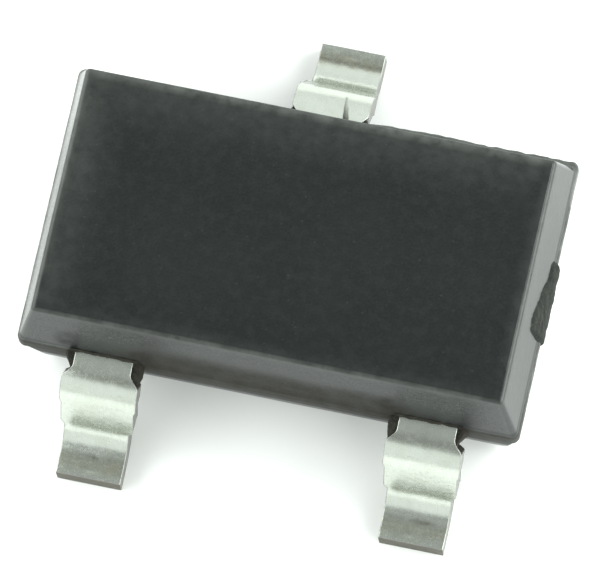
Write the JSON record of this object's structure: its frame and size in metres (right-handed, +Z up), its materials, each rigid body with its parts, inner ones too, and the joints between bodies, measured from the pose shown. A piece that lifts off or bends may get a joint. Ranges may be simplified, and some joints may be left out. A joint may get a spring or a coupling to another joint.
{
  "type": "sot-23 transistor",
  "caption": "Small surface-mount transistor: black moulded body with drafted walls on formed gull-wing leads, a pair at the front and a single one at the back.",
  "frame": {"origin": "middle of the footprint, on the board plane that the soldering feet stand on", "axes": "+Z up from the board, +X along the body towards the gate mark, -Y towards the pair of leads"},
  "size_m": [0.003, 0.0028, 0.001],
  "materials": {
    "moulding_compound": "fine matt moulded epoxy, nearly black",
    "tinned_lead": "matt tin plating over copper alloy",
    "silicon": "sawn and polished silicon",
    "die_adhesive": "silver-filled adhesive",
    "gold_wire": "drawn gold"
  },
  "bodies": {
    "root": {"package_body": "moulding_compound", "collector_lead": "tinned_lead", "base_lead": "tinned_lead", "emitter_lead": "tinned_lead", "die": "silicon", "die_attach": "die_adhesive", "base_wire": "gold_wire", "emitter_wire": "gold_wire"}
  },
  "joints": []
}
